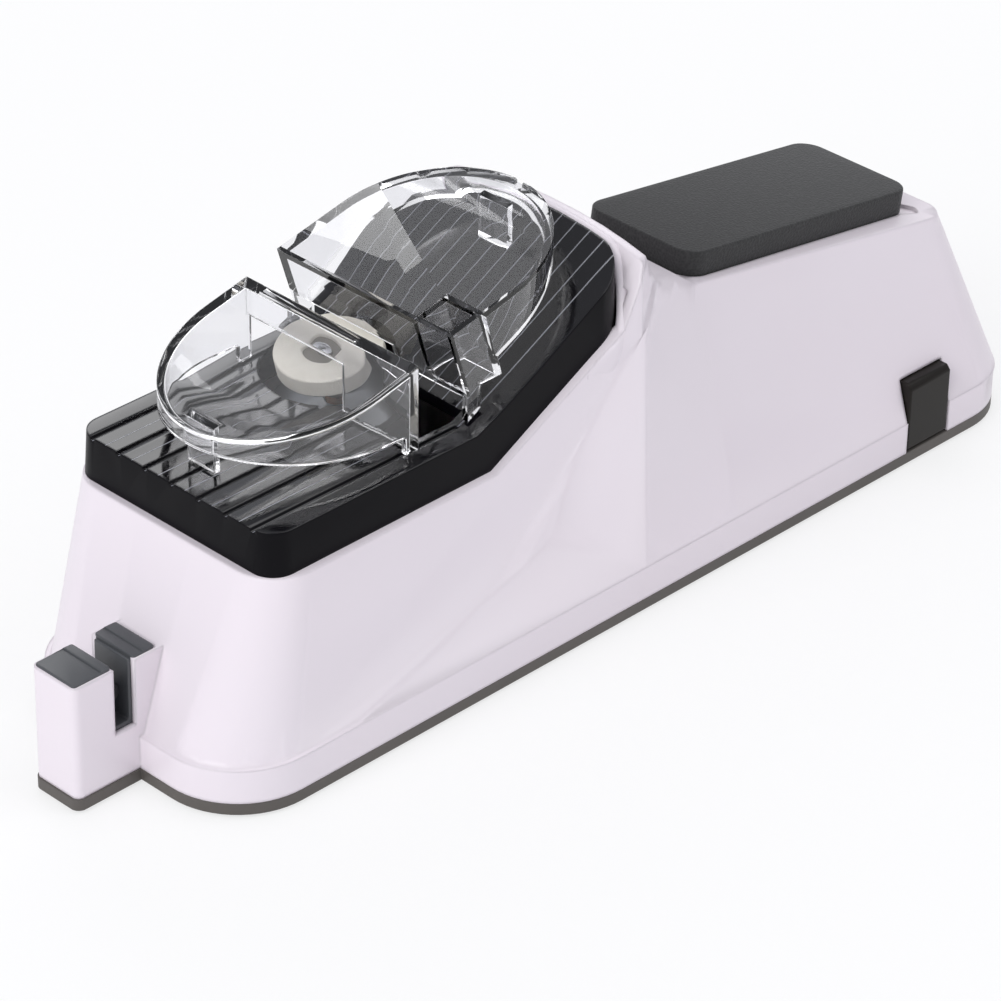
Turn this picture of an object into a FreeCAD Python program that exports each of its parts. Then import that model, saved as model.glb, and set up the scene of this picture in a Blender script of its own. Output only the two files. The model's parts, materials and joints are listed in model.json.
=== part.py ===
import FreeCAD, Part
import math
import os

# Electric knife sharpener, millimetres, +Z up, front end toward -X, near long side toward -Y.
# The part stands on four feet at z = 0 and its plan is centred on the origin.

# main sizes
BODY_L = 240.0
BODY_W = 67.0
BLOCK_L = 16.4
FOOT_H = 0.8
PLATE_T = 2.6
FLANGE_H = 7.6
WALL = 2.4
CORNER_R = 18.0
TOP_Z = 59.7
BEND_X = -41.4
RIDGE_X = 3.0
RIDGE_Z = 84.5
SKIRT_H = 10.0
DECK_X = 32.6
DECK_Z = 60.8
DECK_FALL = 0.146
COVER_HALF = 28.8
COVER_SET = 15.0
WHEEL_D = 25.0
WHEEL_T = 4.0
WHEEL_TILT = 14.0
MOTOR_D = 24.0
MOTOR_L = 31.0
CELL_D = 14.4
CELL_L = 50.0
GUARD_HALF = 24.6
GUARD_WALL = 1.6
GUARD_ROOF = 1.8
SLOT_W = 5.4
BTN_W = 13.4
BTN_TOP = 20.4

# clearances
SEAT = 0.05
SLIDE = 0.3

# derived places
X0 = -(BODY_L + BLOCK_L) / 2
XF = X0 + BLOCK_L
XR = XF + BODY_L
Z1 = FOOT_H + PLATE_T
Z2 = Z1 + FLANGE_H
ZT = Z2 + 79.0
COVER_FRONT = XF + COVER_SET
WHEEL_C = FreeCAD.Vector(BEND_X - 3.8, 9.6, TOP_Z + 3.6)
POST_Y = BODY_W / 2 - 9.0
BTN_X1 = XR - 40.6
BTN_X2 = BTN_X1 + BTN_W
BTN_Y = -(BODY_W / 2 - 0.1)
BTN_Z1 = Z1 + 0.6
INLET_X1 = XR - 14.0

os.makedirs("parts", exist_ok=True)


def vec(x, y, z):
    return FreeCAD.Vector(x, y, z)


def save(name, shape):
    shape.exportStep("parts/" + name + ".step")


def box(x1, x2, y1, y2, z1, z2):
    return Part.makeBox(x2 - x1, y2 - y1, z2 - z1, vec(x1, y1, z1))


def cyl(r, h, x, y, z, d=None):
    return Part.makeCylinder(r, h, vec(x, y, z), d or vec(0, 0, 1))


def fuse(shapes):
    out = shapes[0]
    for one in shapes[1:]:
        out = out.fuse(one)
    return out.removeSplitter()


def prism_xz(points, y1, y2):
    """A side view polygon in X and Z, swept from y1 to y2."""
    pts = [vec(x, y1, z) for x, z in points]
    face = Part.Face(Part.makePolygon(pts + [pts[0]]))
    return face.extrude(vec(0, y2 - y1, 0))


def arc_edge(c, r, a1, a2, z):
    """Quarter arc about c from angle a1 to a2 in degrees."""
    am = (a1 + a2) / 2
    pts = []
    for a in (a1, am, a2):
        t = math.radians(a)
        pts.append(vec(c[0] + r * math.cos(t), c[1] + r * math.sin(t), z))
    return Part.Arc(pts[0], pts[1], pts[2]).toShape()


def outline(z, xf, xr, hf, hr, rf, rr, xa, xb):
    """Closed plan outline, half width hf up to xa, easing to hr from xb to the rear."""
    e = []
    e.append(Part.makeLine(vec(xf, hf - rf, z), vec(xf, -hf + rf, z)))
    e.append(arc_edge((xf + rf, -hf + rf), rf, 180, 270, z))
    e.append(Part.makeLine(vec(xf + rf, -hf, z), vec(xa, -hf, z)))
    e.append(Part.makeLine(vec(xa, -hf, z), vec(xb, -hr, z)))
    e.append(Part.makeLine(vec(xb, -hr, z), vec(xr - rr, -hr, z)))
    e.append(arc_edge((xr - rr, -hr + rr), rr, 270, 360, z))
    e.append(Part.makeLine(vec(xr, -hr + rr, z), vec(xr, hr - rr, z)))
    e.append(arc_edge((xr - rr, hr - rr), rr, 0, 90, z))
    e.append(Part.makeLine(vec(xr - rr, hr, z), vec(xb, hr, z)))
    e.append(Part.makeLine(vec(xb, hr, z), vec(xa, hf, z)))
    e.append(Part.makeLine(vec(xa, hf, z), vec(xf + rf, hf, z)))
    e.append(arc_edge((xf + rf, hf - rf), rf, 90, 180, z))
    return Part.Wire(e)


def slab(z1, z2, xf, xr, h, r, inset=0.0):
    """Upright rounded slab."""
    xa = xf + 0.4 * (xr - xf)
    xb = xf + 0.6 * (xr - xf)
    w = outline(z1, xf + inset, xr - inset, h - inset, h - inset, r - inset, r - inset, xa, xb)
    return Part.Face(w).extrude(vec(0, 0, z2 - z1))


def body_wire(z, out, inset):
    """Outline of the leaning walls at height z, out = how far proud of the flange line."""
    t = (z - Z2) / (ZT - Z2)
    step = 1.2 - out + inset
    xf = XF + step + 24.9 * t
    xr = XR - step - 32.9 * t
    hf = BODY_W / 2 - step - 3.6 * t
    hr = BODY_W / 2 - step - 24.4 * t
    rf = 17.0 - 14.0 * t - inset * 0.5
    rr = 17.0 - 14.0 * t - inset * 0.5
    return outline(z, xf, xr, hf, hr, rf, rr, RIDGE_X + 1.0, DECK_X + 0.4)


def body_loft(z1, z2, out, inset):
    return Part.makeLoft([body_wire(z1, out, inset), body_wire(z2, out, inset)], True, True)


def tilt(shape):
    """Lean a part drawn upright about the origin onto the wheel axis."""
    s = shape.copy()
    s.rotate(vec(0, 0, 0), vec(0, 1, 0), -WHEEL_TILT)
    s.translate(WHEEL_C)
    return s


def deck_z(x):
    return DECK_Z - DECK_FALL * (x - DECK_X)


def slope_z(x):
    return TOP_Z + (RIDGE_Z - TOP_Z) * (x - BEND_X) / (RIDGE_X - BEND_X)


SKIRT_Z = TOP_Z - SKIRT_H
SKIRT_LINE = [(X0 - 5, SKIRT_Z), (BEND_X + 3.4, SKIRT_Z + 0.8), (RIDGE_X - 4, 71.5)]
BACK_LINE = [(RIDGE_X + 2.4, RIDGE_Z - 0.6), (RIDGE_X + 4.4, RIDGE_Z - 0.8), (14.0, 73.0)]
BACK_LINE += [(DECK_X - 4, DECK_Z + 3.4), (DECK_X, DECK_Z), (XR + 5, deck_z(XR + 5))]


def cover_wire(z, inset):
    t = (z - SKIRT_Z) / 40.0
    xf = COVER_FRONT + 1.6 * t + inset
    xr = RIDGE_X + 0.2 - inset
    h = COVER_HALF - 1.8 * t - inset
    rf = 5.5 - inset * 0.6
    rr = 9.0 - inset * 0.6
    return outline(z, xf, xr, h, h, rf, rr, -60, -40)


def cover_loft(z1, z2, inset):
    return Part.makeLoft([cover_wire(z1, inset), cover_wire(z2, inset)], True, True)


# base plate with the block's own tongue
plate = slab(FOOT_H, Z1, XF, XR, BODY_W / 2, CORNER_R)
tongue = slab(FOOT_H, Z1, X0, XF + 24, 6.6, 2.0)
plate = plate.fuse(tongue).removeSplitter()
rib = slab(Z1, Z1 + 1.8, XF + 5.5, XR - 5.5, BODY_W / 2 - 5.5, 12.0)
rib = rib.cut(slab(Z1 - 1, Z1 + 3, XF + 7.2, XR - 7.2, BODY_W / 2 - 7.2, 10.5))
rib = rib.cut(box(X0, XF + 8.2, -9, 9, 0, 20))
rib = rib.cut(box(BTN_X1 - 1.0, BTN_X2 + 1.0, BTN_Y, BTN_Y + 9.0, Z1 + 0.01, 20))
plate = plate.fuse(rib).removeSplitter()
bay_x2 = INLET_X1 - 2.7
bay_x1 = bay_x2 - 2 * CELL_L - 7.0
bay_h = CELL_D + 1.6
plate = plate.cut(box(bay_x1, bay_x2, -bay_h, bay_h, -1, Z1 + 3))
FEET = [(XF + 18, sgn * (POST_Y - 2.5)) for sgn in (-1, 1)]
FEET += [(XR - 20, sgn * (POST_Y - 0.5)) for sgn in (-1, 1)]
SCREWS = [(x, sgn * POST_Y) for x in (XF + 34, 0.0) for sgn in (-1, 1)]
SCREWS += [(XR - 48, sgn * (POST_Y + 0.5)) for sgn in (-1, 1)]
for x, y in FEET:
    plate = plate.cut(cyl(5.1, 1.0, x, y, FOOT_H - 0.01))
for x, y in SCREWS:
    plate = plate.cut(cyl(1.7, 8, x, y, 0))
    plate = plate.cut(cyl(3.1, 1.5, x, y, FOOT_H - 0.5))
save("base_plate", plate)

feet = [cyl(5.0, FOOT_H + 0.98, x, y, 0) for x, y in FEET]
save("feet", Part.makeCompound(feet))

screws = []
for x, y in SCREWS:
    s = cyl(2.8, 0.9, x, y, FOOT_H + 0.1)
    s = s.fuse(cyl(1.4, 11.0, x, y, FOOT_H + 0.9))
    s = s.cut(box(x - 1.7, x + 1.7, y - 0.35, y + 0.35, FOOT_H, FOOT_H + 0.6))
    s = s.cut(box(x - 0.35, x + 0.35, y - 1.7, y + 1.7, FOOT_H, FOOT_H + 0.6))
    screws.append(s.removeSplitter())
save("base_screws", Part.makeCompound(screws))

# housing shell
flange = slab(Z1 + SEAT, Z2, XF, XR, BODY_W / 2, CORNER_R)
front_part = body_loft(Z2 - 0.5, ZT, 0.0, 0.0)
proud = body_loft(Z2 - 0.5, ZT, 0.9, 0.0)
swoosh = [(-81, 9), (-76, 20 - 8), (-65, 14.7), (-54, 18.6), (-43, 23), (-31, 26.2), (-25.5, 27.6)]
swoosh += [(-22.5, 29.5), (-20.8, 33), (-18.5, 39), (-15.5, 46), (-9.0, 56), (0.0, 66), (12, 74)]
side = [(XR + 5, 2)] + [(-81, 2)] + swoosh + [(XR + 5, 74)]
proud = proud.common(prism_xz(side, -60, 60))
top_cut = SKIRT_LINE + BACK_LINE + [(XR + 5, 120), (X0 - 5, 120)]
outer = flange.fuse(front_part).fuse(proud)
outer = outer.cut(prism_xz(top_cut, -60, 60))
seat = cover_loft(SKIRT_Z - 2, 95, -0.15)
seat_side = SKIRT_LINE + [(RIDGE_X + 8, 71.5 + 7)] + [(RIDGE_X + 8, 130), (X0 - 5, 130)]
outer = outer.cut(seat.common(prism_xz(seat_side, -60, 60)))

# front block
block = slab(Z1 + SEAT, 29.2, X0 + 0.3, XF + 16, 6.3, 1.6)
block = block.cut(prism_xz([(XF + 1, 80), (XF + 1, 29.3), (XF + 12, 60), (XF + 12, 80)], -10, 10))
outer = outer.fuse(block)

inner = body_loft(Z2, ZT, 0.0, WALL)
inner_low = slab(Z1 - 1, Z2 + 0.3, XF, XR, BODY_W / 2, CORNER_R, WALL + 1.0)
hollow_top = [(X0 - 5, 130), (RIDGE_X - 3, 130), (RIDGE_X - 3, RIDGE_Z - 5), (12.0, 70.5)]
hollow_top += [(DECK_X - 4, DECK_Z + 0.4), (DECK_X, DECK_Z - 2.8), (XR + 5, deck_z(XR + 5) - 2.8)]
hollow_top += [(XR + 5, 0), (X0 - 5, 0)]
hollow = inner.fuse(inner_low).common(prism_xz(hollow_top, -60, 60))
keep = box(X0 - 5, XF + 6.2, -8, 8, 0, 40)
hollow = hollow.cut(keep)
shell = outer.cut(hollow)

# slot through the block and pocket for its dark liner
SLOT_X1 = X0 + 10.4
SLOT_X2 = SLOT_X1 + SLOT_W
SLOT_Z = 14.0
POCKET_X2 = SLOT_X2 + 5.2
shell = shell.cut(box(X0 + 1.5, POCKET_X2, -5.1, 5.1, SLOT_Z - 2.2, 40))
shell = shell.cut(box(SLOT_X1, SLOT_X2, -10, 10, SLOT_Z, 40))

# screw posts, pad tray, button window and inlet window
for x, y in SCREWS:
    post = cyl(3.4, 12.0, x, y, Z1 + 2.2).cut(cyl(1.45, 20, x, y, 0))
    sgn = 1 if y > 0 else -1
    web_y = sorted((sgn * (POST_Y + 3.1), sgn * (POST_Y + 6.0)))
    web = box(x - 1.2, x + 1.2, web_y[0], web_y[1], Z1 + 2.2, Z1 + 10)
    shell = shell.fuse(post).fuse(web)
shell = shell.removeSplitter()
PAD_X1 = DECK_X + 0.3
PAD_L = XR - PAD_X1 - 22.8
PAD_H = 15.6
PAD_T = 6.2
ang = math.degrees(math.atan(DECK_FALL))
pad = slab(0, PAD_T, 0, PAD_L, PAD_H, 5.0)


def on_deck(shape, lift):
    s = shape.copy()
    s.rotate(vec(0, 0, 0), vec(0, 1, 0), ang)
    s.translate(vec(PAD_X1, 0, deck_z(PAD_X1) + lift))
    return s


tray = slab(0, 3, -0.3, PAD_L + 0.3, PAD_H + 0.3, 5.3)
shell = shell.cut(on_deck(tray, -0.8))
win = box(BTN_X1 - SLIDE, BTN_X2 + SLIDE, BTN_Y - 6, BTN_Y + 9.4, Z1 - 1, BTN_TOP + SLIDE)
shell = shell.cut(win)
INLET_Z = 19.55
shell = shell.cut(box(INLET_X1 + 1, XR + 2, -4.9, 4.9, INLET_Z - 2.2, INLET_Z + 2.2))
save("housing_shell", shell)

# foam pad
save("foam_pad", on_deck(pad, -0.75))

# slot liner and its honing plates
liner = box(X0 + 1.6, POCKET_X2 - 0.1, -5.0, 5.0, SLOT_Z - 2.1, 28.9)
liner = liner.cut(box(SLOT_X1 + 0.6, SLOT_X2 - 0.6, -10, 10, SLOT_Z + 0.8, 40))
save("slot_liner", liner)
plates = []
for sgn in (-1, 1):
    p = Part.makeBox(6.0, 1.4, 2.0, vec(-3.0, -0.7, -1.0))
    p.rotate(vec(0, 0, 0), vec(0, 1, 0), sgn * 35)
    p.translate(vec((SLOT_X1 + SLOT_X2) / 2, sgn * 1.3, SLOT_Z + 5.0))
    plates.append(p.common(box(SLOT_X1 + 0.6, SLOT_X2 - 0.6, -5, 5, SLOT_Z + 0.9, 27)))
save("honing_plates", Part.makeCompound(plates))

# top cover with grooves
cover_side = [(X0, SKIRT_Z + SEAT), (BEND_X + 3.4, SKIRT_Z + 0.8 + SEAT), (RIDGE_X - 4, 71.5 + SEAT)]
cover_side += [(RIDGE_X + 4, 71.5 + 6 + SEAT), (RIDGE_X + 4, RIDGE_Z + 1.2), (RIDGE_X, RIDGE_Z)]
cover_side += [(BEND_X, TOP_Z), (X0, TOP_Z)]
cover = cover_loft(SKIRT_Z - 1, 95, 0.0).common(prism_xz(cover_side, -60, 60))
room_side = [(X0, 30), (RIDGE_X + 4, 30), (RIDGE_X + 4, RIDGE_Z - 2.6)]
room_side += [(RIDGE_X, RIDGE_Z - 2.6), (BEND_X + 0.6, TOP_Z - 2.2), (X0, TOP_Z - 2.2)]
cover = cover.cut(cover_loft(25, 95, 2.0).common(prism_xz(room_side, -60, 60)))
PITCH = 7.7
for i in range(-3, 4):
    y = i * PITCH
    cover = cover.cut(box(COVER_FRONT - 2, BEND_X - 0.5, y - 0.6, y + 0.6, TOP_Z - 0.7, TOP_Z + 2))
well = cyl(WHEEL_D / 2 + 2.2, 30, WHEEL_C.x, WHEEL_C.y, TOP_Z - 8)
well = well.fuse(box(-51.5, -38.5, -21.0, 12.0, TOP_Z - 8, TOP_Z + 8))
cover = cover.cut(well)
M_TOP = -13.0
under_top = prism_xz([(X0, 20), (RIDGE_X, 20), (RIDGE_X, RIDGE_Z - 1), (BEND_X, TOP_Z - 1), (X0, TOP_Z - 1)], -60, 60)
for sx in (-17.5, 17.5):
    for sy in (-9.0, 9.0):
        post = tilt(cyl(2.3, 24, sx, sy, M_TOP + 2.05))
        cover = cover.fuse(post.common(under_top))
save("top_cover", cover.removeSplitter())

# clear guards: two lids on short legs, with the blade slot between them
G_FLOOR = TOP_Z + SLIDE
NOTCH_Z = TOP_Z + 10.8
NOTCH_Y1 = WHEEL_C.y - WHEEL_D / 2 - 1.7
F_WALL_X = WHEEL_C.x - 8.6
F_TOP = TOP_Z + 19.3
F_FALL = 0.22
F_RIM = TOP_Z + 3.9
F_RIM_FALL = 0.074
F_RUN = 11.0
F_NOSE = 27.4
R_WALL_X = WHEEL_C.x - 0.4
R_TOP = TOP_Z + 22.2
R_RISE = 0.215
R_RIM = TOP_Z + 6.4
R_RIM_RISE = 0.474
R_RUN = 17.7
R_NOSE = 25.8
R_FOOT = TOP_Z + 6.1
R_LEAN = 0.323
LEG = 3.5
PORT_X = 10.0
PORT_Y = 11.4
PORT_WALL = 1.3


def f_top(x):
    return F_TOP + F_FALL * (x - F_WALL_X)


def f_rim(x):
    return F_RIM - F_RIM_FALL * (x - F_WALL_X)


def r_top(x):
    return R_TOP + R_RISE * (x - R_WALL_X)


def r_rim(x):
    return R_RIM + R_RIM_RISE * (x - R_WALL_X)


def r_wall(z):
    """Place along X of the rear guard's leaning wall at height z."""
    return R_WALL_X + R_LEAN * (R_TOP - z)


def lid_plan(x_wall, run, nose, half, sgn):
    """Upright D: straight sides from the slot wall for run, then half an oval toward sgn X."""
    xc = x_wall + sgn * run
    e = Part.Ellipse(vec(0, 0, 0), max(nose, half), min(nose, half)).toShape()
    f = Part.Face(Part.Wire([e]))
    if nose < half:
        f.rotate(vec(0, 0, 0), vec(0, 0, 1), 90)
    s = f.extrude(vec(0, 0, 70))
    s.translate(vec(xc, 0, 40))
    ends = sorted((xc, xc + sgn * 60))
    s = s.common(box(ends[0], ends[1], -60, 60, 40, 110))
    ends = sorted((xc, x_wall - sgn * 8))
    return s.fuse(box(ends[0], ends[1], -half, half, 40, 110)).removeSplitter()


f_end = F_WALL_X - F_RUN - F_NOSE - 3.0
leg_x = F_WALL_X - LEG
side = [(f_end, f_rim(f_end)), (leg_x, f_rim(leg_x)), (leg_x, G_FLOOR), (F_WALL_X, G_FLOOR)]
side += [(F_WALL_X, F_TOP), (f_end, f_top(f_end))]
gf = lid_plan(F_WALL_X, F_RUN, F_NOSE, GUARD_HALF, -1).common(prism_xz(side, -60, 60))
wall_x = F_WALL_X - GUARD_WALL
side = [(f_end, 50), (wall_x, 50), (wall_x, f_top(wall_x) - GUARD_ROOF), (f_end, f_top(f_end) - GUARD_ROOF)]
room = lid_plan(F_WALL_X, F_RUN, F_NOSE - GUARD_WALL, GUARD_HALF - GUARD_WALL, -1)
gf = gf.cut(room.common(prism_xz(side, -60, 60)))
gf = gf.cut(box(wall_x - 0.1, F_WALL_X + 0.1, NOTCH_Y1, GUARD_HALF - GUARD_WALL, 50, NOTCH_Z))
tip_x = F_WALL_X - F_RUN - F_NOSE + LEG
gf = gf.fuse(box(tip_x, tip_x + GUARD_WALL, -4.0, 4.0, G_FLOOR, f_top(tip_x) - 1.0))
save("guard_front", gf.removeSplitter())

r_end = R_WALL_X + R_RUN + R_NOSE + 2.0
foot_x = r_wall(R_FOOT)
back_x = foot_x + 2.4
side = [(R_WALL_X, R_TOP), (foot_x, R_FOOT), (back_x, R_FOOT), (back_x, r_rim(back_x))]
side += [(r_end, r_rim(r_end)), (r_end, r_top(r_end))]
gr = lid_plan(R_WALL_X, R_RUN, R_NOSE, GUARD_HALF, 1).common(prism_xz(side, -60, 60))
top_z = R_TOP - GUARD_ROOF
side = [(r_wall(top_z) + GUARD_WALL * 1.05, top_z), (r_wall(50) + GUARD_WALL * 1.05, 50), (r_end, 50)]
side += [(r_end, r_top(r_end) - GUARD_ROOF)]
room = lid_plan(R_WALL_X, R_RUN, R_NOSE - GUARD_WALL, GUARD_HALF - GUARD_WALL, 1)
gr = gr.cut(room.common(prism_xz(side, -60, 60)))
gr = gr.cut(box(R_WALL_X - 2, foot_x + 4, NOTCH_Y1, GUARD_HALF - GUARD_WALL, 50, NOTCH_Z))
for y in (-GUARD_HALF, GUARD_HALF - GUARD_WALL):
    low = [(foot_x, slope_z(foot_x) + SLIDE + 0.1), (foot_x + LEG, slope_z(foot_x + LEG) + SLIDE + 0.1)]
    low += [(foot_x + LEG, r_rim(foot_x) + 2.5), (foot_x, r_rim(foot_x) + 2.5)]
    gr = gr.fuse(prism_xz(low, y, y + GUARD_WALL))
tip_x = R_WALL_X + R_RUN + R_NOSE - 2 * LEG
low = [(tip_x, slope_z(tip_x) + SLIDE + 0.1), (tip_x + GUARD_WALL, slope_z(tip_x + GUARD_WALL) + SLIDE + 0.1)]
low += [(tip_x + GUARD_WALL, r_top(tip_x) - 1.0), (tip_x, r_top(tip_x) - 1.0)]
gr = gr.fuse(prism_xz(low, -4.0, 4.0))

# square port in the rear guard's near corner, leaning with its wall
port_z = R_FOOT + 2.2
tube = [(R_WALL_X, R_TOP), (r_wall(port_z), port_z), (r_wall(port_z) + PORT_X, port_z)]
tube += [(R_WALL_X + PORT_X, r_top(R_WALL_X + PORT_X))]
gr = gr.fuse(prism_xz(tube, -GUARD_HALF, -GUARD_HALF + PORT_Y))
bore = [(r_wall(95) + PORT_WALL, 95), (r_wall(port_z - 6) + PORT_WALL, port_z - 6)]
bore += [(r_wall(port_z - 6) + PORT_X - PORT_WALL, port_z - 6), (r_wall(95) + PORT_X - PORT_WALL, 95)]
gr = gr.cut(prism_xz(bore, -GUARD_HALF + 1.4, -GUARD_HALF + PORT_Y - 1.4))
save("guard_rear", gr.removeSplitter())


def dd(r, flat, z1, z2):
    return cyl(r, z2 - z1, 0, 0, z1).common(box(-r, r, -flat, flat, z1, z2))


HOLE_R = 5.9
HOLE_F = 4.3
wheel = cyl(WHEEL_D / 2, WHEEL_T, 0, 0, -WHEEL_T / 2).cut(dd(HOLE_R, HOLE_F, -4, 4))
save("grinding_wheel", tilt(wheel))
hub = dd(HOLE_R - 0.1, HOLE_F - 0.1, -WHEEL_T / 2 - 0.1, WHEEL_T / 2 - 0.9)
hub = hub.fuse(cyl(7.6, 2.2, 0, 0, -WHEEL_T / 2 - 2.25)).fuse(cyl(3.2, 5.0, 0, 0, -WHEEL_T / 2 - 7.2))
hub = hub.cut(cyl(1.02, 20, 0, 0, -12)).removeSplitter()
save("wheel_hub", tilt(hub))
shaft = cyl(1.0, 22.0, 0, 0, -21.0)
save("motor_shaft", tilt(shaft))
clip = cyl(2.4, 0.8, 0, 0, WHEEL_T / 2 - 0.85).cut(cyl(1.0, 3, 0, 0, 0))
save("retaining_cap", tilt(clip))

can = cyl(MOTOR_D / 2, MOTOR_L, 0, 0, M_TOP - MOTOR_L)
can = can.common(box(-MOTOR_D / 2, MOTOR_D / 2, -9.5, 9.5, M_TOP - MOTOR_L, M_TOP))
can = can.cut(cyl(MOTOR_D / 2 - 1.0, MOTOR_L - 1.0, 0, 0, M_TOP - MOTOR_L - 0.01).common(
    box(-12, 12, -8.5, 8.5, M_TOP - MOTOR_L - 1, M_TOP)))
can = can.cut(cyl(3.0, 5, 0, 0, M_TOP - 2))
for sx in (-8, 8):
    can = can.cut(cyl(1.22, 5, sx, 0, M_TOP - 2))
save("motor_can", tilt(can))
bush = cyl(3.0, 3.0, 0, 0, M_TOP - 1.5).cut(cyl(1.05, 10, 0, 0, M_TOP - 4))
save("motor_bearing", tilt(bush))
rotor = cyl(7.0, 16.0, 0, 0, M_TOP - 24.0).cut(cyl(1.0, 40, 0, 0, M_TOP - 30))
save("motor_rotor", tilt(rotor))
endcap = cyl(MOTOR_D / 2 - 1.05, 2.4, 0, 0, M_TOP - MOTOR_L).common(
    box(-12, 12, -8.45, 8.45, M_TOP - MOTOR_L - 1, M_TOP))
endcap = endcap.cut(box(-1.3, 1.3, -6.4, -5.6, -60, 0)).cut(box(-1.3, 1.3, 5.6, 6.4, -60, 0))
save("motor_end_cap", tilt(endcap))
tabs = [box(-1.25, 1.25, s * 6 - 0.35, s * 6 + 0.35, M_TOP - MOTOR_L - 4, M_TOP - MOTOR_L + 3) for s in (-1, 1)]
save("motor_tabs", tilt(Part.makeCompound(tabs)))
bracket = box(-20.5, 20.5, -12.5, 12.5, M_TOP + 0.05, M_TOP + 2.0).cut(cyl(3.3, 8, 0, 0, M_TOP - 3))
for sx in (-8, 8):
    bracket = bracket.cut(cyl(1.3, 8, sx, 0, M_TOP - 3))
save("motor_bracket", tilt(bracket))
mscrews = []
for sx in (-8, 8):
    mscrews.append(cyl(2.2, 1.4, sx, 0, M_TOP + 2.05).fuse(cyl(1.2, 2.9, sx, 0, M_TOP - 0.8)))
save("motor_screws", tilt(Part.makeCompound([m.removeSplitter() for m in mscrews])))

# power supply: cells, holder, board, switch, inlet
holder = box(bay_x1 + 0.3, bay_x2 - 0.3, -bay_h + 0.3, bay_h - 0.3, Z1 + 0.2, Z1 + CELL_D + 2.6)
cells = []
cell_z = Z1 + 0.8 + CELL_D / 2
mid_x = (bay_x1 + bay_x2) / 2
for sx in (-1, 1):
    for sy in (-1, 1):
        x1 = mid_x + (0.2 if sx > 0 else -CELL_L - 0.2)
        y = sy * (CELL_D / 2 + 0.4)
        sgn = sy
        tip = 1.6
        if sgn > 0:
            c = cyl(CELL_D / 2, CELL_L - tip, x1, y, cell_z, vec(1, 0, 0))
            c = c.fuse(cyl(2.7, tip, x1 + CELL_L - tip, y, cell_z, vec(1, 0, 0)))
        else:
            c = cyl(CELL_D / 2, CELL_L - tip, x1 + tip, y, cell_z, vec(1, 0, 0))
            c = c.fuse(cyl(2.7, tip, x1, y, cell_z, vec(1, 0, 0)))
        cells.append(c.removeSplitter())
save("battery_cells", Part.makeCompound(cells))
hole = box(mid_x - CELL_L - 2.0, mid_x + CELL_L + 2.0, -CELL_D - 0.8, CELL_D + 0.8, 0, cell_z)
for sy in (-1, 1):
    hole = hole.fuse(cyl(CELL_D / 2 + 0.3, 2 * CELL_L + 4.0, mid_x - CELL_L - 2.0,
                         sy * (CELL_D / 2 + 0.4), cell_z, vec(1, 0, 0)))
holder = holder.cut(hole)
BOARD_Z = 21.6
for x in (bay_x2 - 51.5, bay_x2 - 7.5):
    for y in (-11.0, 9.0):
        holder = holder.fuse(cyl(1.8, BOARD_Z - Z1 - CELL_D - 2.2, x, y, Z1 + CELL_D + 2.2))
save("battery_holder", holder.removeSplitter())
contacts = []
for x1 in (mid_x - CELL_L - 1.6, mid_x + CELL_L + 1.0):
    contacts.append(box(x1, x1 + 0.5, -CELL_D + 2.0, CELL_D - 2.0, cell_z - 6, cell_z - 0.1))
save("battery_contacts", Part.makeCompound(contacts))
door = box(bay_x1 + SLIDE, bay_x2 - SLIDE, -bay_h + SLIDE, bay_h - SLIDE, FOOT_H, FOOT_H + 2.0)
for i in range(4):
    door = door.cut(box(bay_x1 + 6 + i * 2.4, bay_x1 + 7.2 + i * 2.4, -7, 7, FOOT_H - 0.1, FOOT_H + 0.6))
save("battery_door", door)

BOARD_T = 1.6
BOARD_TOP = BOARD_Z + BOARD_T
board_x1 = bay_x2 - 55.5
board_y1 = BTN_Y + 14.4
board = box(board_x1, bay_x2 + 6.0, board_y1, board_y1 + 32.0, BOARD_Z, BOARD_TOP)
save("circuit_board", board)
chips = [box(board_x1 + 14, board_x1 + 20, -4, 2, BOARD_TOP, BOARD_TOP + 1.6)]
chips.append(box(board_x1 + 26, board_x1 + 34, 2, 7, BOARD_TOP, BOARD_TOP + 2.2))
chips.append(cyl(3.0, 8.0, board_x1 + 7, 8, BOARD_TOP))
chips.append(box(board_x1 + 40, board_x1 + 43, -8, -2, BOARD_TOP, BOARD_TOP + 1.0))
save("board_parts", Part.makeCompound(chips))
BTN_XM = (BTN_X1 + BTN_X2) / 2
STEM_Z = 17.2
switch = box(BTN_XM - 5.0, BTN_XM + 5.0, BTN_Y + 9.9, BTN_Y + 17.1, STEM_Z - 4.2, BOARD_Z)
switch = switch.cut(box(BTN_XM - 1.2, BTN_XM + 1.2, BTN_Y + 9.4, BTN_Y + 14.4, STEM_Z - 1.2, STEM_Z + 1.2))
save("push_switch", switch)
STEM_Y = BTN_Y + 6.6
stem = box(BTN_XM - 0.9, BTN_XM + 0.9, STEM_Y, STEM_Y + 5.3, STEM_Z - 0.9, STEM_Z + 0.9)
save("switch_stem", stem)
BTN_T = 5.4
face = [(BTN_Y, BTN_Z1), (BTN_Y, BTN_TOP - 1.2), (BTN_Y + 1.0, BTN_TOP), (BTN_Y + BTN_T, BTN_TOP)]
face.append((BTN_Y + BTN_T, BTN_Z1))
pts = [vec(BTN_X1, y, z) for y, z in face]
button = Part.Face(Part.makePolygon(pts + [pts[0]])).extrude(vec(BTN_W, 0, 0))
boss = box(BTN_XM - 2.4, BTN_XM + 2.4, BTN_Y + BTN_T - 0.5, STEM_Y, STEM_Z - 2.4, STEM_Z + 2.4)
save("power_button", button.fuse(boss).removeSplitter())
spring = cyl(2.1, 3.2, BTN_XM, STEM_Y + SEAT, STEM_Z, vec(0, 1, 0))
spring = spring.cut(cyl(1.5, 6, BTN_XM, STEM_Y - 0.6, STEM_Z, vec(0, 1, 0)))
save("button_spring", spring)
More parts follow.
